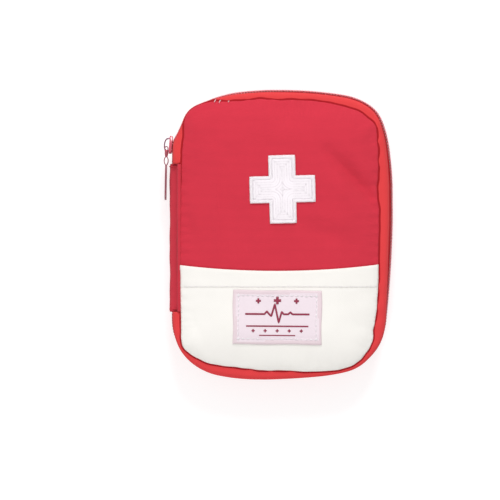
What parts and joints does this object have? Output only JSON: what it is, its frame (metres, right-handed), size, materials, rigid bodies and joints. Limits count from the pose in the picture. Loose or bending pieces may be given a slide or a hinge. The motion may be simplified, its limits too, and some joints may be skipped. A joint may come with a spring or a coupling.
{
  "type": "first aid kit",
  "caption": "Soft zipped first aid pouch with a padded front, a cross, a slip pocket and a cloth spine that the lid folds over; the zip slider and its puller move.",
  "frame": {"origin": "middle of the flat back face that the pouch lies on, level with the centre of the zip line", "axes": "+Y towards the pouch's upper end, the longest side; +X away from the spine; +Z out of the padded front"},
  "size_m": [0.1171, 0.1454, 0.0279],
  "materials": {
    "crimson_cloth": "matte woven, fine rib",
    "spine_cloth": "matte woven, fine rib",
    "seam_cloth": "matte woven binding",
    "foam": "soft closed foam",
    "lining_cloth": "matte woven lining",
    "zip_tape": "herringbone woven tape",
    "zip_coil": "satin monofilament",
    "cream_cloth": "matte plain weave",
    "cross_fill": "fine embroidery",
    "cross_border": "satin stitch",
    "label_weave": "fine woven patch",
    "slider_paint": "gloss paint",
    "bail_metal": "bright metal",
    "puller_paint": "satin paint",
    "elastic": "ribbed elastic",
    "bandage": "crepe gauze",
    "plaster_tape": "matte tape",
    "card": "plain card",
    "packet_paper": "smooth paper",
    "sachet_foil": "satin foil",
    "steel": "brushed",
    "net": "open net",
    "plaster_wrapper": "smooth paper"
  },
  "bodies": {
    "base": {"back_panel": "crimson_cloth", "back_foam": "foam", "back_lining": "lining_cloth", "base_tape": "zip_tape", "base_coil": "zip_coil", "base_coil_parting": "zip_coil", "spine_panel": "spine_cloth", "spine_lining": "lining_cloth", "hinge_seam": "seam_cloth", "base_binding": "seam_cloth", "elastic_loops": "elastic", "bandage_roll_a": "bandage", "bandage_roll_b": "bandage", "tape_roll": "plaster_tape", "tape_core": "card", "gauze_packet_a": "packet_paper", "gauze_packet_b": "packet_paper", "wipe_sachet_a": "sachet_foil", "wipe_sachet_b": "sachet_foil", "tweezers": "steel"},
    "lid": {"front_panel": "crimson_cloth", "front_foam": "foam", "lid_lining": "lining_cloth", "front_pocket": "cream_cloth", "pocket_hem": "cream_cloth", "cross_fill": "cross_fill", "cross_border": "cross_border", "label_patch": "label_weave", "lid_tape": "zip_tape", "lid_coil": "zip_coil", "lid_coil_parting": "zip_coil", "lid_binding": "seam_cloth", "mesh_pocket": "net", "mesh_edging": "seam_cloth", "plaster_a": "plaster_wrapper", "plaster_b": "plaster_wrapper", "plaster_c": "plaster_wrapper"},
    "slider": {"slider_body": "slider_paint", "slider_bail": "bail_metal"},
    "puller": {"puller": "puller_paint"}
  },
  "joints": [
    {"name": "lid_hinge", "type": "hinge", "parent": "base", "child": "lid", "pos_m": [-0.0517, 0, 0.022], "axis": [0, -1, 0], "range_deg": [0, 180]},
    {"name": "zip_travel", "type": "hinge", "parent": "base", "child": "slider", "pos_m": [-0.0279, 0.04252, 0.013], "axis": [0, 0, -1], "range_deg": [0, 72], "deforming": ["base_coil_parting", "lid_coil_parting"]},
    {"name": "puller_swing", "type": "hinge", "parent": "slider", "child": "puller", "pos_m": [-0.05838, 0.04353, 0.013], "axis": [0, 0, -1], "range_deg": [0, 100]}
  ]
}
